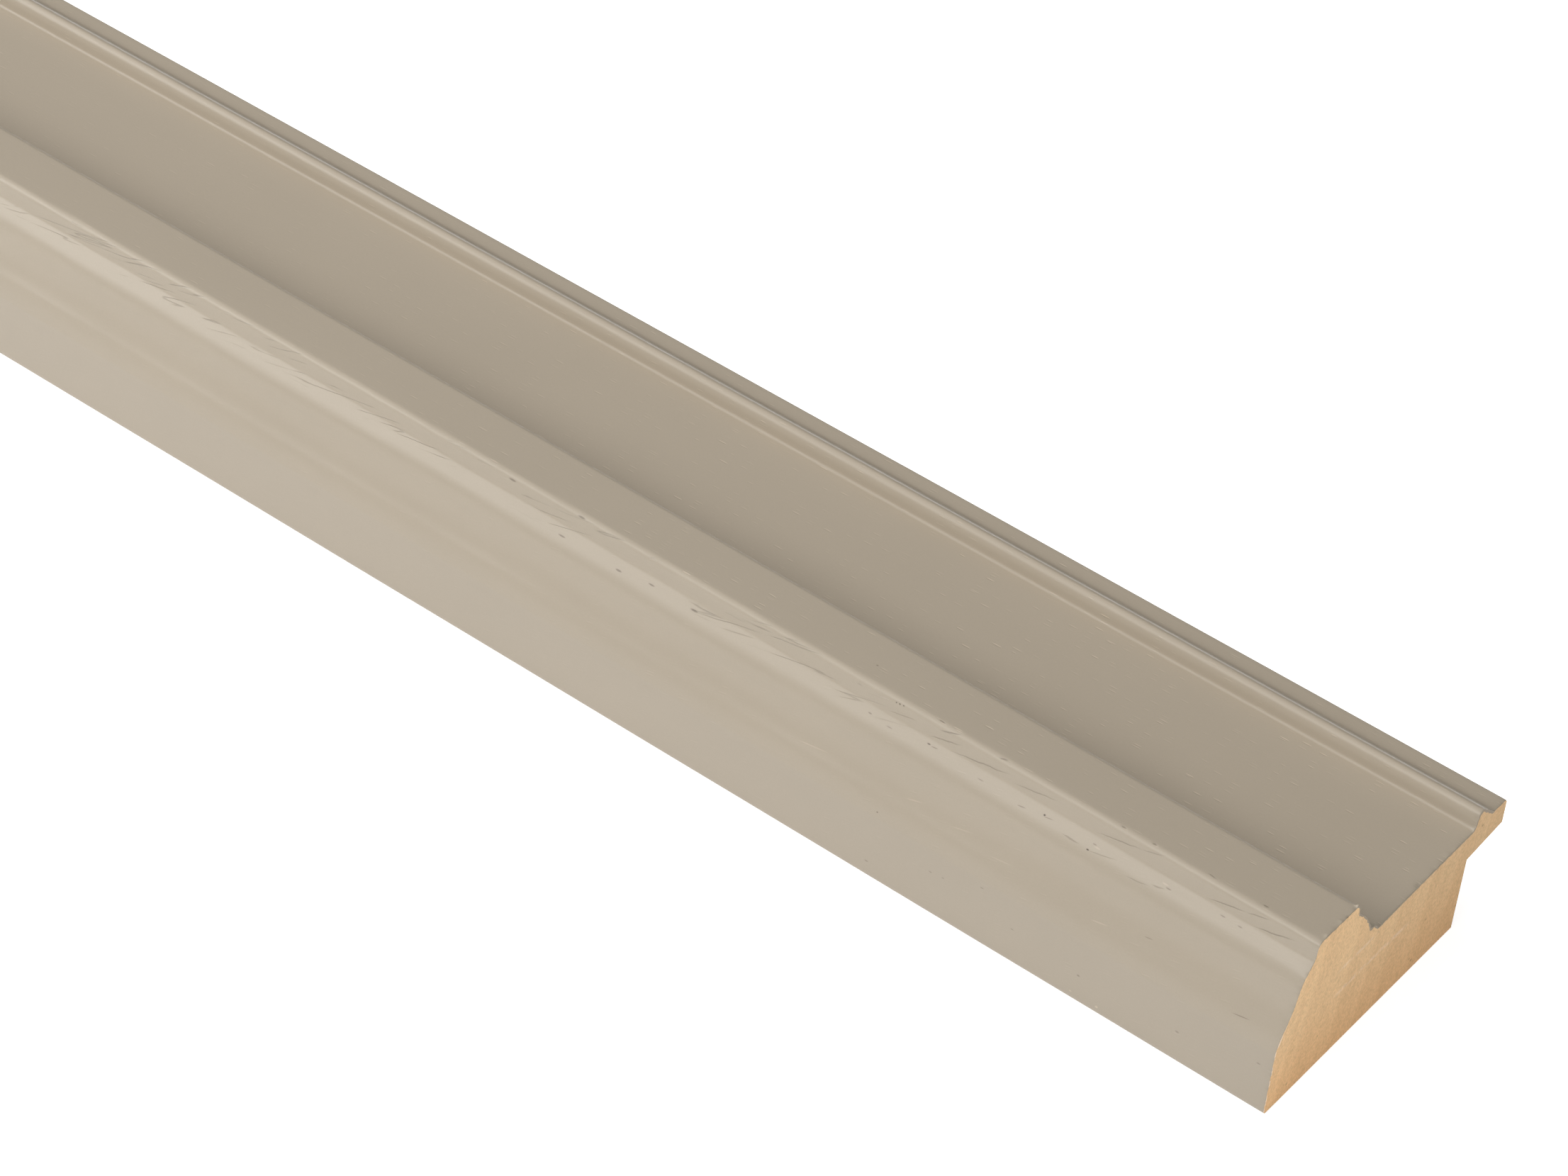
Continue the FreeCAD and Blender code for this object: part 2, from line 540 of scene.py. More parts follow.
        outer = np.arange(first, first + count)
        inner = outer.copy()
        inner[own] = spare + np.arange(len(own))
        edge, deep = (np.stack([-d, ring.girth], 1) for d in (np.zeros(count), depth))
        j, k = np.arange(own[0], own[-1]), own[[0, -1]]
        quads = np.stack([outer[j + 1], outer[j], inner[j], inner[j + 1]], 1)
        quad_lay = np.stack([edge[j + 1], edge[j], deep[j], deep[j + 1]], 1)
        wedges = np.stack([outer[k + (0, 1)], outer[k - (1, 0)], inner[k]], 1)
        wedge_lay = np.stack([edge[k + (0, 1)], edge[k - (1, 0)], deep[k]], 1)
        way = 1 if near else -1
        faces = [tuple(face[::way]) for face in quads.tolist() + wedges.tolist()]
        faces.append(tuple(inner[::-way].tolist()))
        skins = np.array([Skin.COAT.value] * (len(faces) - 1) + [Skin.CUT.value])
        lay = [quad_lay[:, ::way].reshape(-1, 2), wedge_lay[:, ::way].reshape(-1, 2),
               np.tile([-1.0, 0.0], (count, 1))]
        return Patch(points, faces, skins, np.concatenate(lay))

    def build(self) -> bpy.types.Object:
        """Makes the closed mesh of the stick, with a map of distance and girth in millimetres.

        Returns:
            The object, at the origin, with its place in its mesh.
        """
        distance = self.stations()
        patches = [self.sides(distance)]
        spare = len(patches[0].points)
        last_row = spare - len(self.ring.points)
        for place, first in ((distance[0], 0), (distance[-1], last_row)):
            patches.append(self.cap(float(place), first, spare))
            spare += len(patches[-1].points)
        points = np.concatenate([patch.points for patch in patches]) * MM
        wear = np.concatenate([patch.skins for patch in patches])
        lay = np.concatenate([patch.lay for patch in patches])
        mesh = bpy.data.meshes.new(PIECE)
        mesh.from_pydata(points.tolist(), [], [face for patch in patches for face in patch.faces])
        mesh.polygons.foreach_set("material_index", wear.astype(np.int32))
        mesh.polygons.foreach_set("use_smooth", wear < Skin.CUT.value)
        mesh.uv_layers.new(name=LAY).data.foreach_set("uv", lay.astype(np.float32).ravel())
        mesh.update()
        stick = bpy.data.objects.new(PIECE, mesh)
        bpy.context.collection.objects.link(stick)
        return stick

    def dress(self, stick: bpy.types.Object) -> None:
        """Gives the stick its finishes, in the order of the skins.

        Args:
            stick: the object made by build.
        """
        finishes = {Skin.PAINT: PaintFinish().material(self.section.marks),
                    Skin.BARE: BareFinish().material(),
                    Skin.CUT: CutFinish().material(self.section.width),
                    Skin.COAT: CoatFinish().material()}
        for skin in Skin:
            stick.data.materials.append(finishes[skin])


Socket = bpy.types.NodeSocket
Value = float | Socket


class Graph:
    """The nodes of one material, added and joined by short calls."""

    def __init__(self, name: str, roughness: float) -> None:
        """Starts a material with its usual shader.

        Args:
            name: the material's name.
            roughness: the shader's roughness.
        """
        self.material = bpy.data.materials.new(name)
        self.material.use_nodes = True
        self.nodes = self.material.node_tree.nodes
        self.links = self.material.node_tree.links
        self.shader = self.nodes["Principled BSDF"]
        self.put(self.shader, "Roughness", roughness)

    def put(self, node: bpy.types.Node, name: str | int, value: object) -> None:
        """Joins a socket to an input, or sets the input's own value.

        Args:
            node: the node.
            name: the input's name or number.
            value: the socket, or the value, with a colour as three numbers or four.
        """
        if isinstance(value, Socket):
            self.links.new(value, node.inputs[name])
        elif node.inputs[name].type == "RGBA":
            node.inputs[name].default_value = (*value[:3], 1)
        else:
            node.inputs[name].default_value = value

    def add(self, kind: str, values: dict, **settings: object) -> bpy.types.Node:
        """Adds a node.

        Args:
            kind: its type.
            values: the sockets or numbers for its inputs, by name or number.
            settings: its other settings.

        Returns:
            The node.
        """
        made = self.nodes.new(kind)
        for name, setting in settings.items():
            setattr(made, name, setting)
        for name, value in values.items():
            self.put(made, name, value)
        return made

    def math(self, operation: str, first: Value, second: Value = 0.0, third: Value = 0.0) -> Socket:
        """Adds a sum of one, two or three numbers."""
        values = {0: first, 1: second, 2: third}
        return self.add("ShaderNodeMath", values, operation=operation).outputs[0]

    def total(self, start: Value, *parts: tuple[Value, Value]) -> Value:
        """Adds parts to a start.

        Args:
            start: the start.
            parts: each part with its share.

        Returns:
            The start plus each part times its share.
        """
        for part, share in parts:
            start = self.math("MULTIPLY_ADD", part, share, start)
        return start

    def times(self, first: Value, *others: Value) -> Value:
        """Multiplies numbers.

        Args:
            first: the first one.
            others: the other ones.

        Returns:
            Their product.
        """
        for other in others:
            first = self.math("MULTIPLY", first, other)
        return first

    def rise(self, value: Value, low: float, high: float) -> Socket:
        """Rises smoothly from 0 at low to 1 at high, or falls if low is the greater.

        Args:
            value: the number to judge.
            low: the number at which the result is 0.
            high: the number at which the result is 1.

        Returns:
            The result.
        """
        values = {"Value": value, "From Min": low, "From Max": high}
        made = self.add("ShaderNodeMapRange", values, interpolation_type="SMOOTHSTEP")
        return made.outputs[0]

    def scaled(self, value: Value, size: float, shift: float = 0.0) -> Socket:
        """Divides a number by a size after shifting it."""
        return self.math("MULTIPLY_ADD", value, 1 / size, shift / size)

    def vector(self, x: Value, y: Value, z: Value = 0.0) -> Socket:
        """Joins three numbers into a vector."""
        return self.add("ShaderNodeCombineXYZ", {0: x, 1: y, 2: z}).outputs[0]

    def reach(self, x: Value, y: Value) -> Socket:
        """Gives the length of a vector of two numbers."""
        made = self.add("ShaderNodeVectorMath", {0: self.vector(x, y)}, operation="LENGTH")
        return made.outputs["Value"]

    def noise(self, place: tuple[Value, Value], size: Pair, seed: float,
              detail: float = 2.0) -> Socket:
        """Gives cloudy noise with a mean of one half.

        Args:
            place: the two coordinates, in millimetres.
            size: the size of the clouds along each of them.
            seed: the number that tells one noise from another.
            detail: how many finer layers it has.

        Returns:
            The noise.
        """
        where = self.vector(self.scaled(place[0], size[0]), self.scaled(place[1], size[1]), seed)
        values = {"Vector": where, "Scale": 1.0, "Detail": detail}
        return self.add("ShaderNodeTexNoise", values).outputs[0]

    def lay(self) -> tuple[Socket, Socket]:
        """Reads the surface map.

        Returns:
            The distance from the cut and the girth, in millimetres.
        """
        uv = self.add("ShaderNodeUVMap", {}, uv_map=LAY).outputs[0]
        parts = self.add("ShaderNodeSeparateXYZ", {0: uv}).outputs
        return parts[0], parts[1]

    def blend(self, share: Value, first: object, second: object) -> Socket:
        """Mixes two colours.

        Args:
            share: the second one's share, from 0 to 1.
            first: the first colour.
            second: the second colour.

        Returns:
            The mixed colour.
        """
        made = self.add("ShaderNodeMix", {}, data_type="RGBA")
        for place, value in ((0, share), (6, first), (7, second)):
            self.put(made, place, value)
        return made.outputs[2]

    def dimmed(self, colour: object, factor: Value) -> Socket:
        """Multiplies a colour by a number."""
        made = self.add("ShaderNodeVectorMath", {0: colour, "Scale": factor}, operation="SCALE")
        return made.outputs[0]

    def bump(self, height: Value, reach: float) -> None:
        """Turns a height of 0 to 1 into relief of this reach in metres."""
        values = {"Height": height, "Distance": reach, "Strength": 1.0}
        self.put(self.shader, "Normal", self.add("ShaderNodeBump", values).outputs[0])


@dataclass(frozen=True)
class Ellipse:
    """A small ellipse on the unrolled surface, a mark in the paint or a spot of painted highlight:
    its place and its half sizes in mm.

    The depth is its strength. The slant is the girth that it gains for each millimetre nearer
    to the cut.
    """

    distance: float
    girth: float
    length: float
    width: float
    depth: float
    slant: float = 0.0


@dataclass(frozen=True)
class PaintFinish:
    """Satin taupe paint over open-pored wood.

    The grain is the girth plus a small share of the distance, so that the pores run at a slight
    lean, which is greater on the outer side than on the face. Sizes are in millimetres.
    """

    colour: Colour = (0.424, 0.363, 0.282)
    stain: Colour = (0.05, 0.03, 0.018)
    roughness: float = 0.33
    specular: float = 0.45
    face_grain: float = 0.03
    side_grain: float = 0.18

    # The paint's tone: its plain level, and the shares that the marks add or take away; each pore
    #     # adds a painted highlight with a painted shade beside it, and the light spots add painted
    #     highlights
    plain_tone: float = 0.945
    mottle_tone: float = 0.05
    stipple_tone: float = 0.06
    pore_highlight_tone: float = 0.34
    pore_shade: float = -0.16
    wander_tone: float = -0.22
    highlight_and_chip_tone: float = 0.2

    # The sizes of the patterns, along the stick and round it
    mottle_size: Pair = (17, 6)
    stipple_size: Pair = (0.2, 0.17)
    fibre_size: Pair = (1.6, 0.3)
    pore_size: Pair = (2.1, 0.27)
    pore_shift: float = 0.12
    wander_size: Pair = (13, 0.75)
    gap_size: Pair = (11, 1.5)
    wobble_size: Pair = (1.5, 2.5)
    wobble: float = 0.35

    # The relief: its reach, and the share of each pattern in it
    relief: float = 0.03
    fibre_height: float = 0.12
    pore_height: float = -0.3
    crack_height: float = -2.5
    wander_height: float = -1.0

    # Where pores thin out along the stick and how few are left there and on the side, which ends
    # this far beyond the start of the ridge, and where the wandering cracks begin
    pore_fade: Pair = (170, 40)
    far_pores: float = 0.4
    side_pores: float = 0.2
    side_end: float = 0.9
    wander_start: Pair = (42, 58)

    # The levels at which each pattern rises from nothing to its full strength
    pore_pick: Pair = (0.17, 0.1)
    pore_edge: Pair = (0.34, 0.18)
    pore_unevenness: float = 0.14
    faint_pore: float = 0.25
    wander_edge: Pair = (0.022, 0.002)
    gap_edge: Pair = (0.46, 0.58)
    spot_edge: Pair = (1.0, 0.35)

    flecks: tuple[Ellipse, ...] = (
        Ellipse(30.5, 18.08, 0.16, 0.13, 0.95), Ellipse(30.0, 18.0, 0.7, 0.06, 0.4, 0.15),
        Ellipse(25.0, 17.3, 0.2, 0.11, 0.85), Ellipse(49.2, 20.6, 0.13, 0.1, 0.65),
        Ellipse(48.8, 20.64, 0.15, 0.11, 0.7), Ellipse(48.35, 20.69, 0.13, 0.1, 0.65),
        Ellipse(44.5, 18.38, 0.28, 0.11, 0.65), Ellipse(43.8, 18.34, 0.5, 0.07, 0.4, 0.1),
        Ellipse(51.5, 18.08, 0.3, 0.1, 0.4), Ellipse(49.0, 17.84, 0.45, 0.09, 0.3),
        Ellipse(38.0, 17.9, 0.45, 0.08, 0.3), Ellipse(33.0, 17.66, 0.6, 0.09, 0.35, 0.12),
        Ellipse(24.6, 18.08, 0.3, 0.09, 0.35), Ellipse(16.0, 17.96, 0.4, 0.1, 0.4),
        Ellipse(10.0, 18.32, 0.4, 0.09, 0.35), Ellipse(8.0, 18.26, 0.35, 0.09, 0.35),
        Ellipse(40.0, 5.94, 0.25, 0.12, 0.3), Ellipse(38.5, 6.12, 0.2, 0.1, 0.3),
        Ellipse(22.0, 4.02, 0.22, 0.16, 0.4), Ellipse(10.5, 4.38, 0.3, 0.18, 0.3),
        Ellipse(4.5, 10.44, 1.2, 0.07, 0.4, 0.15), Ellipse(16.0, 12.48, 0.6, 0.08, 0.25, 0.15),
        Ellipse(1.5, 6.48, 0.3, 0.14, 0.3), Ellipse(30.0, 4.86, 0.25, 0.12, 0.25),
        Ellipse(34.0, 7.8, 0.3, 0.1, 0.3), Ellipse(47.5, 2.46, 0.3, 0.14, 0.3),
        Ellipse(47.0, 9.36, 0.14, 0.11, 0.5), Ellipse(53.5, 23.35, 0.18, 0.12, 0.4),
        Ellipse(98.0, 20.56, 0.6, 0.15, 0.5), Ellipse(89.0, 20.82, 0.6, 0.15, 0.5),
        Ellipse(83.0, 17.72, 0.5, 0.15, 0.5), Ellipse(79.0, 18.14, 0.5, 0.12, 0.5),
        Ellipse(73.5, 18.08, 0.6, 0.15, 0.5), Ellipse(90.5, 17.84, 0.6, 0.12, 0.5))
    cracks: tuple[Ellipse, ...] = (
        Ellipse(43.0, 19.6, 2.2, 0.1, 0.27, 0.25), Ellipse(38.7, 19.4, 4.2, 0.1, 0.28, 0.16),
        Ellipse(32.2, 19.72, 3.1, 0.09, 0.25, 0.16), Ellipse(48.2, 19.6, 2.0, 0.09, 0.2, 0.19),
        Ellipse(42.7, 20.7, 1.4, 0.11, 0.35, 0.26), Ellipse(22.4, 19.7, 3.0, 0.09, 0.27, 0.17),
        Ellipse(18.7, 20.48, 1.5, 0.09, 0.22, 0.28), Ellipse(10.0, 19.57, 2.5, 0.1, 0.3, 0.18),
        Ellipse(6.7, 20.25, 1.5, 0.09, 0.27, 0.25), Ellipse(4.7, 19.4, 2.6, 0.1, 0.3, 0.24),
        Ellipse(19.2, 17.03, 1.5, 0.09, 0.2, 0.12), Ellipse(17.0, 17.6, 0.8, 0.09, 0.22, 0.12),
        Ellipse(23.5, 17.5, 1.8, 0.08, 0.17, 0.18), Ellipse(27.0, 17.36, 1.2, 0.1, 0.25),
        Ellipse(44.0, 21.28, 0.5, 0.11, 0.35), Ellipse(36.5, 21.15, 0.6, 0.12, 0.35, 0.13),
        Ellipse(22.5, 21.28, 0.4, 0.12, 0.35), Ellipse(19.0, 21.35, 0.35, 0.13, 0.35),
        Ellipse(12.5, 21.5, 0.6, 0.11, 0.27), Ellipse(6.5, 21.6, 0.4, 0.13, 0.35))
    # Painted highlights along the roll, the slope and the ridge, and two pale chips in the paint at the
    # foot
    highlights_and_chips: tuple[Ellipse, ...] = (
        Ellipse(43.8, 12.4, 1.1, 0.1, 0.8, 0.24), Ellipse(21.2, 11.28, 1.1, 0.1, 0.8, 0.16),
        Ellipse(33.0, 11.6, 1.6, 0.08, 0.6, 0.1), Ellipse(56.0, 11.9, 2.2, 0.09, 0.7, 0.12),
        Ellipse(38.0, 12.3, 1.5, 0.08, 0.6, 0.2), Ellipse(19.5, 1.44, 0.22, 0.2, 1.6),
        Ellipse(22.6, 1.5, 0.2, 0.12, 1.4), Ellipse(22.3, 21.15, 0.4, 0.07, 1.0),
        Ellipse(18.8, 21.22, 0.35, 0.08, 1.0), Ellipse(43.8, 21.15, 0.5, 0.07, 1.0),
        Ellipse(16.5, 18.2, 0.5, 0.12, 0.8), Ellipse(24.2, 17.9, 0.5, 0.12, 0.8))

    def material(self, marks: dict[str, float]) -> bpy.types.Material:
        """Makes the material.

        Args:
            marks: the girth at which each stretch of the section starts.

        Returns:
            The material.
        """
        graph = Graph("taupe_paint", self.roughness)
        distance, girth = graph.lay()
        surface = (distance, girth)
        on_side = graph.math("LESS_THAN", girth, marks["ridge"] + self.side_end)
        lean = graph.total(self.face_grain, (on_side, self.side_grain - self.face_grain))
        grain = graph.total(girth, (distance, lean))
        along_grain = (distance, grain)

        near = graph.total(self.far_pores, (graph.rise(distance, *self.pore_fade), 1 - self.far_pores))
        near = graph.times(near, graph.total(1.0, (on_side, self.side_pores - 1)))
        # Each pore is a dash of painted highlight with a dash of painted shade beside it, and also a real
        # dip in the relief
        pores = self.pores(graph, along_grain, near, 0.0)
        shade = self.pores(graph, along_grain, near, self.pore_shift)
        wander = self.wandering(graph, surface, grain, marks)
        wobble = graph.noise(surface, self.wobble_size, 3.9)
        wavy = graph.total(graph.scaled(girth, 1, -self.wobble / 2), (wobble, self.wobble))
        cracks = self.spots(graph, (distance, wavy), self.cracks)
        dirt = graph.math("MAXIMUM", self.spots(graph, surface, self.flecks), cracks)

        tone = graph.total(
            self.plain_tone,
            (graph.noise(surface, self.mottle_size, 1.7), self.mottle_tone),
            (graph.noise(surface, self.stipple_size, 6.3), self.stipple_tone),
            (pores, self.pore_highlight_tone), (shade, self.pore_shade), (wander, self.wander_tone),
            # The light spots are painted highlights, and pale chips at the foot
            (self.spots(graph, surface, self.highlights_and_chips), self.highlight_and_chip_tone))
        painted = graph.dimmed(self.colour, tone)
        graph.put(graph.shader, "Base Color", graph.blend(dirt, painted, self.stain))
        graph.put(graph.shader, "Specular IOR Level", self.specular)
        fibre = graph.noise(along_grain, self.fibre_size, 4.2, 3.0)
        height = graph.total(0.0, (fibre, self.fibre_height), (pores, self.pore_height),
                             (cracks, self.crack_height), (wander, self.wander_height))
        graph.bump(height, self.relief * MM)
        return graph.material

    def spots(self, graph: Graph, surface: tuple[Value, Value], ellipses: tuple[Ellipse, ...]) -> Socket:
        """Draws soft slanted ellipses, each as strong as its depth says.

        Args:
            graph: the material's nodes.
            surface: the distance from the cut and the girth.
            ellipses: the marks in the paint, and the spots of painted highlight, to draw.

        Returns:
            The strongest one's strength at each place.
        """
        distance, girth = surface
        strength = 0.0
        for ellipse in ellipses:
            along = graph.scaled(distance, ellipse.length, -ellipse.distance)
            level = graph.total(girth, (distance, ellipse.slant))
            across = graph.scaled(level, ellipse.width, -ellipse.girth - ellipse.slant * ellipse.distance)
            spot = graph.times(graph.rise(graph.reach(along, across), *self.spot_edge), ellipse.depth)
            strength = graph.math("MAXIMUM", spot, strength)
        return strength

    def pores(self, graph: Graph, along_grain: tuple[Value, Value], near: Value,
              shift: float) -> Socket:
        """Scatters short dashes along the grain, a few strong ones among many faint ones.

        Random cells are picked by one draw, made strong by the cube of another, and drawn where
        the distance to the cell's centre, plus a third draw, is small.

        Args:
            graph: the material's nodes.
            along_grain: the distance from the cut and the place across the grain.
            near: how many of the pores are open here, from 0 to 1.
            shift: how far the dashes are moved across the grain, which puts the painted shade beside each
                pore.

        Returns:
            The dashes' strength.
        """
        place = graph.vector(graph.scaled(along_grain[0], self.pore_size[0]),
                             graph.scaled(along_grain[1], self.pore_size[1], shift))
        cells = graph.add("ShaderNodeTexVoronoi", {"Vector": place, "Scale": 1.0},
                          voronoi_dimensions="2D")
        draws = graph.add("ShaderNodeSeparateColor", {0: cells.outputs["Color"]}).outputs
        strength = graph.total(self.faint_pore,
                               (graph.math("POWER", draws[2], 3.0), 1 - self.faint_pore))
        picked = graph.times(graph.rise(draws[0], *self.pore_pick), strength)
        shorter = graph.total(cells.outputs["Distance"], (draws[1], self.pore_unevenness))
        return graph.times(graph.rise(shorter, *self.pore_edge), picked, near)

    def wandering(self, graph: Graph, surface: tuple[Value, Value], grain: Value,
                  marks: dict[str, float]) -> Socket:
        """Draws long thin cracks where drawn-out noise is near one half, round the riser.

        They stay between 1.5 mm below the riser and 0.4 mm below the crown, and are parted by
        gaps where a second noise is low.

        Args:
            graph: the material's nodes.
            surface: the distance from the cut and the girth.
            grain: the place across the grain.
            marks: the girth at which each stretch of the section starts.

        Returns:
            The cracks' strength.
        """
        distance, girth = surface
        field_noise = graph.noise((distance, grain), self.wander_size, 7.7, 1.0)
        gap = graph.math("ABSOLUTE", graph.math("SUBTRACT", field_noise, 0.5))
        line = graph.rise(gap, *self.wander_edge)
        window = graph.times(graph.rise(girth, marks["riser"] - 1.5, marks["riser"] - 0.3),
                             graph.rise(girth, marks["crown"] - 0.4, marks["crown"] - 0.9),
                             graph.rise(distance, *self.wander_start))
        parted = graph.rise(graph.noise(surface, self.gap_size, 2.2), *self.gap_edge)
        return graph.times(line, window, parted)


@dataclass(frozen=True)
class CoatFinish:
    """The sawn edge of the ground and paint."""

    colour: Colour = (0.31, 0.255, 0.19)
    roughness: float = 0.8

    def material(self) -> bpy.types.Material:
        """Makes the material.

        Returns:
            The material.
        """
        graph = Graph("coat_edge", self.roughness)
        graph.put(graph.shader, "Base Color", self.colour)
        return graph.material


@dataclass(frozen=True)
class CutFinish:
    """Sawn wood on the end of its fibres, with growth rings, saw marks and specks, and painted
    shading that darkens it towards the lip and towards the back.

    The rings are given by the distances from the outer side, in millimetres, at which each one
    ends. Each grows paler towards its end. A speck is its place (across, up) and its radius, and
    a saw mark its middle (across, up) and its half sizes.
    """

    dark: Colour = (0.685, 0.462, 0.256)
    pale: Colour = (0.725, 0.5, 0.28)
    low: Colour = (0.72, 0.42, 0.195)
    torn: Colour = (0.84, 0.68, 0.53)
    roughness: float = 0.85
    specular: float = 0.2
    relief: float = 0.05
    ring_ends: tuple[float, ...] = (2.5, 4.6, 11.4, 16.1, 19.9, 25.8, 31.1, 36.4)
    ring_lean: float = 0.123
    ring_wobble: float = 1.1
    ring_edge: float = 0.01
    fine_size: Pair = (0.2, 0.3)
    fine_tone: float = 0.62
    coarse_size: Pair = (0.8, 4.0)
    coarse_tone: float = 0.16
    fuzz_size: Pair = (1.2, 0.8)
    low_share: float = 0.5
    low_height: float = 12
    plain_tone: float = 0.61
    # The painted shading on the cut: its level, and its change for each millimetre across and up
    painted_shading_level: float = 1.05
    painted_shading_across: float = -0.0048
    painted_shading_up: float = 0.0045
    speck_tone: float = -0.35
    specks: tuple[tuple[float, float, float], ...] = (
        (35.5, 12.7, 0.22), (25.8, 1.35, 0.22), (25.3, 1.9, 0.14), (3.7, 1.4, 0.2),
        (27.1, 6.0, 0.16), (20.4, 9.6, 0.12), (8.3, 4.4, 0.12), (24.1, 8.2, 0.12))
    saw_marks: tuple[tuple[Pair, Pair], ...] = (((16.5, 8.5), (8.0, 0.5)), ((13.5, 11.9), (4.0, 0.42)))
    saw_bow: float = 0.004
    saw_share: float = 0.4

    # The torn outer edge: its width, the height at which it starts to lean, and where it ends
    edge_width: Pair = (0.28, 0.08)
    edge_bend: float = 8.4
    edge_lean: float = 0.41
    edge_end: Pair = (14.0, 12.5)

    def material(self, width: float) -> bpy.types.Material:
        """Makes the material.

        Args:
            width: the stick's width in millimetres.

        Returns:
            The material.
        """
        graph = Graph("sawn_end", self.roughness)
        place = graph.add("ShaderNodeTexCoord", {}).outputs["Object"]
        parts = graph.add("ShaderNodeSeparateXYZ", {0: place}).outputs
        across = graph.total(width / 2, (parts[1], 1 / MM))
        up = graph.times(parts[2], 1 / MM)
        end = (across, up)
        leant = graph.total(across, (graph.scaled(up, 1, -6), -self.ring_lean))
        leant = graph.total(graph.scaled(leant, 1, -self.ring_wobble / 2),
                            (graph.noise(end, (5, 4), 3.1), self.ring_wobble))
        colour = graph.blend(self.rings(graph, leant, width), self.dark, self.pale)
        lowness = graph.times(graph.rise(up, self.low_height, 0), self.low_share)
        colour = graph.blend(lowness, colour, self.low)
        colour = graph.blend(self.fibres(graph, end), colour, self.torn)

        fine = graph.noise(end, self.fine_size, 5.5, 4.0)
        coarse = graph.noise((leant, up), self.coarse_size, 8.5, 3.0)
        tone = graph.total(self.plain_tone, (fine, self.fine_tone), (coarse, self.coarse_tone))
        # Painted shading: the cut grows darker towards the lip and towards the back
        slope = graph.total(self.painted_shading_level, (across, self.painted_shading_across), (up, self.painted_shading_up))
        tone = graph.times(tone, slope)
        for x, y, size in self.specks:
            offset = graph.reach(graph.scaled(across, size, -x), graph.scaled(up, size, -y))
            tone = graph.total(tone, (graph.rise(offset, 1.2, 0.2), self.speck_tone))
        graph.put(graph.shader, "Base Color", graph.dimmed(colour, tone))
        graph.put(graph.shader, "Specular IOR Level", self.specular)
        graph.bump(fine, self.relief * MM)
        return graph.material

    def rings(self, graph: Graph, leant: Value, width: float) -> Socket:
        """Gives each ring's growth, as a ramp with a sharp fall at each ring's end.

        Args:
            graph: the material's nodes.
            leant: the place across the rings, in millimetres.
            width: the stick's width in millimetres.

        Returns:
            The growth, from 0 to 1.
        """
        made = graph.add("ShaderNodeValToRGB", {0: graph.scaled(leant, width)})
        stops = made.color_ramp.elements
        stops[0].position, stops[1].position = 0.0, 1.0
        stops[0].color, stops[1].color = (0.4, 0.4, 0.4, 1), (0.8, 0.8, 0.8, 1)
        for end in self.ring_ends:
            for shift, level in ((-self.ring_edge, 1.0), (self.ring_edge, 0.0)):
                stops.new(end / width + shift).color = (level, level, level, 1)
        return made.outputs[0]

    def fibres(self, graph: Graph, end: tuple[Value, Value]) -> Socket:
        """Gives the share of torn pale fibres, in the saw marks and along the outer edge.

        The edge is where the place across, less a lean above the roll, is near 0.

        Args:
            graph: the material's nodes.
            end: the place across and up, in millimetres.

        Returns:
            The share, from 0 to 1.
        """
        across, up = end
        fuzz = graph.noise(end, self.fuzz_size, 9.1)
        climbed = graph.math("MAXIMUM", graph.scaled(up, 1, -self.edge_bend), 0.0)
        inside = graph.total(across, (climbed, -self.edge_lean))
        frayed = graph.times(graph.rise(inside, *self.edge_width), graph.rise(up, *self.edge_end),
                             graph.rise(fuzz, 0.42, 0.56))
        marks = graph.total(0.0, *((self.streak(graph, end, *mark), 1.0) for mark in self.saw_marks))
        sawn = graph.times(marks, graph.rise(fuzz, 0.3, 0.6), self.saw_share)
        return graph.math("MAXIMUM", sawn, frayed)

    def streak(self, graph: Graph, end: tuple[Value, Value], middle: Pair, half: Pair) -> Socket:
        """Draws one arched saw mark, whose line falls with the square of the way from its middle.

        Args:
            graph: the material's nodes.
            end: the place across and up, in millimetres.
            middle: the mark's middle.
            half: half its length and half its width.

        Returns:
            Its strength, 1 in its middle and 0 beyond its sizes.
        """
        along = graph.scaled(end[0], 1, -middle[0])
        arch = graph.times(along, along, self.saw_bow)
        off = graph.math("ADD", graph.scaled(end[1], 1, -middle[1]), arch)
        line = graph.rise(graph.math("ABSOLUTE", off), half[1], 0.0)
        run = graph.rise(graph.math("ABSOLUTE", along), half[0], half[0] * 0.6)
        return graph.times(line, run)


@dataclass(frozen=True)
class BareFinish:
    """Planed bare wood with its long grain, for the back and the rabbet."""

    dark: Colour = (0.50, 0.34, 0.19)
    pale: Colour = (0.64, 0.46, 0.27)
    roughness: float = 0.75
    relief: float = 0.06
    slow_size: Pair = (90, 2.2)
    fibre_size: Pair = (9, 0.22)

    def material(self) -> bpy.types.Material:
        """Makes the material.

        Returns:
            The material.
        """
        graph = Graph("bare_wood", self.roughness)
        surface = graph.lay()
        fibre = graph.noise(surface, self.fibre_size, 6.4, 2.0)
        share = graph.total(0.0, (graph.noise(surface, self.slow_size, 1.1, 3.0), 0.5), (fibre, 0.5))
        colour = graph.blend(graph.rise(share, 0.3, 0.7), self.dark, self.pale)
        graph.put(graph.shader, "Base Color", colour)
        graph.bump(fibre, self.relief * MM)
        return graph.material


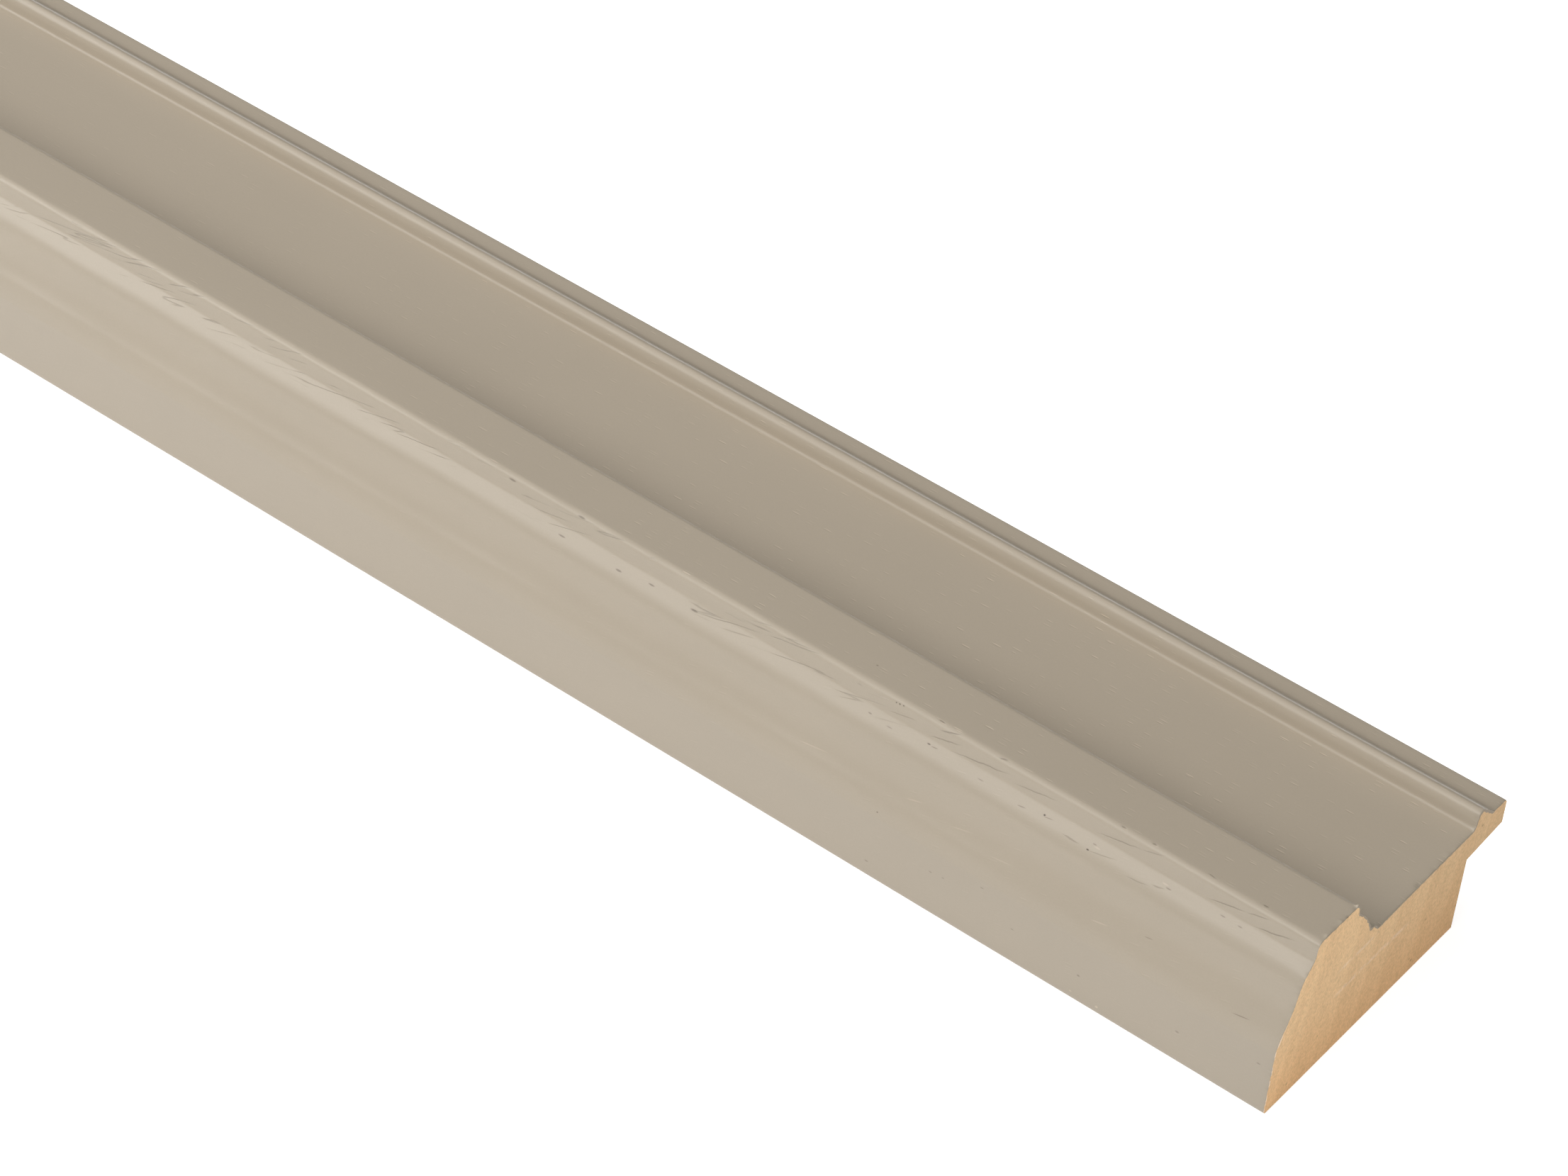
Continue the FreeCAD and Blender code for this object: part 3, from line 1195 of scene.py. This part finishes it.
@dataclass(frozen=True)
class Shot:
    """The camera of the photograph, placed from where it saw the cut's outer foot corner.

    The angles are in degrees, the lens and sensor in millimetres, and the rest in metres. The
    corner is eased, so that it was seen a little inside the outer side.
    """

    azimuth: float = 34.36
    elevation: float = 41.25
    roll: float = 5.651
    lens: float = 111.175
    sensor: float = 36.0
    photo_width: int = 2212
    photo_height: int = 1659
    foot_pixel_x: float = 1783.7
    foot_pixel_y: float = 1571.4
    foot_depth: float = 457.7 * MM
    foot_inset: float = 0.32 * MM
    clip_start: float = 0.01
    clip_end: float = 50

    def place(self, foot: Vector) -> None:
        """Makes the camera and aims it.

        Args:
            foot: the cut's outer foot corner, in metres.
        """
        turn, tilt, roll = (math.radians(a) for a in (self.azimuth, self.elevation, self.roll))
        back = Vector((math.sin(turn) * math.cos(tilt), -math.cos(turn) * math.cos(tilt),
                       math.sin(tilt)))
        level = Vector((math.cos(turn), math.sin(turn), 0))
        upright = back.cross(level)
        right = level * math.cos(roll) + upright * math.sin(roll)
        up = upright * math.cos(roll) - level * math.sin(roll)
        metre_per_pixel = self.foot_depth * self.sensor / self.lens / self.photo_width
        across = (self.foot_pixel_x - self.photo_width / 2) * metre_per_pixel
        down = (self.foot_pixel_y - self.photo_height / 2) * metre_per_pixel
        seen = foot + Vector((0, self.foot_inset, 0))
        eye = seen - right * across + up * down + back * self.foot_depth
        camera = bpy.data.objects.new("photo_camera", bpy.data.cameras.new("photo_camera"))
        camera.data.lens = self.lens
        camera.data.sensor_width = self.sensor
        camera.data.clip_start = self.clip_start
        camera.data.clip_end = self.clip_end
        camera.matrix_world = (Matrix.Translation(eye)
                               @ Matrix((right, up, back)).transposed().to_4x4())
        bpy.context.collection.objects.link(camera)
        bpy.context.scene.camera = camera


@dataclass(frozen=True)
class Lamp:
    """A square soft lamp, placed from the point that it faces.

    Its azimuth and elevation are in degrees, with +X at azimuth 0 and the outer side at -90, its
    distance in metres and its power in watts. Its side is a share of its distance, the spread.
    """

    name: str
    azimuth: float
    elevation: float
    away: float
    power: float
    spread: float = 0.5

    def hang(self, aim: Vector) -> None:
        """Makes the lamp.

        Args:
            aim: the point that it faces, in metres.
        """
        turn, rise = math.radians(self.azimuth), math.radians(self.elevation)
        way = Vector((math.cos(turn) * math.cos(rise), math.sin(turn) * math.cos(rise),
                      math.sin(rise)))
        lamp = bpy.data.objects.new(self.name, bpy.data.lights.new(self.name, "AREA"))
        lamp.data.size = self.away * self.spread
        lamp.data.energy = self.power
        lamp.location = aim + way * self.away
        lamp.rotation_euler = way.to_track_quat("Z", "Y").to_euler()
        bpy.context.collection.objects.link(lamp)


@dataclass(frozen=True)
class Studio:
    """A plain white floor and soft lamps round the stick's shown end.

    The two lamps at the back stand farther off, so that they light the whole stick evenly.
    """

    world_level: float = 0.01
    floor_reach: float = 6.0
    floor_colour: Colour = (0.8, 0.8, 0.8)
    floor_glow: float = 0.8
    aim: tuple[float, float, float] = (0.42, 0.0, 0.0)
    lamps: tuple[Lamp, ...] = (
        Lamp("far", 178, 20, 3.0, 71),
        Lamp("left", -170, 28, 3.0, 33),
        Lamp("left_front", -140, 25, 1.2, 4.2),
        Lamp("front_left", -120, 28, 1.2, 1.65),
        Lamp("front", -95, 43, 1.2, 4.1),
        Lamp("left_high", -150, 65, 1.2, 1.2),
        Lamp("back_left", 135, 42, 1.2, 0.4),
        Lamp("back_right", 60, 12, 1.2, 0.3),
        Lamp("end", -4, 5, 1.2, 10.5),
    )

    def build(self) -> None:
        """Makes the world, the floor and the lamps."""
        scene = bpy.context.scene
        scene.view_settings.view_transform = "Standard"
        scene.world = bpy.data.worlds.new("studio")
        scene.world.use_nodes = True
        background = scene.world.node_tree.nodes["Background"]
        background.inputs["Strength"].default_value = self.world_level
        background.inputs["Color"].default_value = (1, 1, 1, 1)
        self.floor()
        for lamp in self.lamps:
            lamp.hang(Vector(self.aim))

    def floor(self) -> None:
        """Makes the floor, which looks white to the camera and still takes the stick's shadow."""
        reach = self.floor_reach
        mesh = bpy.data.meshes.new("floor")
        mesh.from_pydata([(-reach, -reach, 0), (reach, -reach, 0), (reach, reach, 0), (-reach, reach, 0)],
                         [], [(0, 1, 2, 3)])
        floor = bpy.data.objects.new("floor", mesh)
        bpy.context.collection.objects.link(floor)
        graph = Graph("floor", 1.0)
        path = graph.add("ShaderNodeLightPath", {}).outputs
        seen = path["Is Camera Ray"]
        for kind in ("Is Glossy Ray", "Is Transmission Ray"):
            seen = graph.math("MAXIMUM", seen, path[kind])
        graph.put(graph.shader, "Base Color", self.floor_colour)
        graph.put(graph.shader, "Emission Color", (1, 1, 1))
        graph.put(graph.shader, "Emission Strength", graph.times(seen, self.floor_glow))
        mesh.materials.append(graph.material)


def main() -> None:
    """Builds the stick and its studio."""
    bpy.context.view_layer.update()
    low, high = (Vector(corner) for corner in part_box(NODE))
    section = Section(width=(high.y - low.y) / MM, crown_height=(high.z - low.z) / MM)
    stick = Stick(section, (high.x - low.x) / MM)
    piece = stick.build()
    stick.dress(piece)
    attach(piece, "root")
    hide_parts(NODE)
    LOG.info("%s: %d faces", PIECE, len(piece.data.polygons))
    Shot().place(Vector((high.x, low.y, low.z)))
    Studio().build()


if __name__ == "__main__":
    logging.basicConfig(level=logging.INFO, format="%(message)s")
    main()
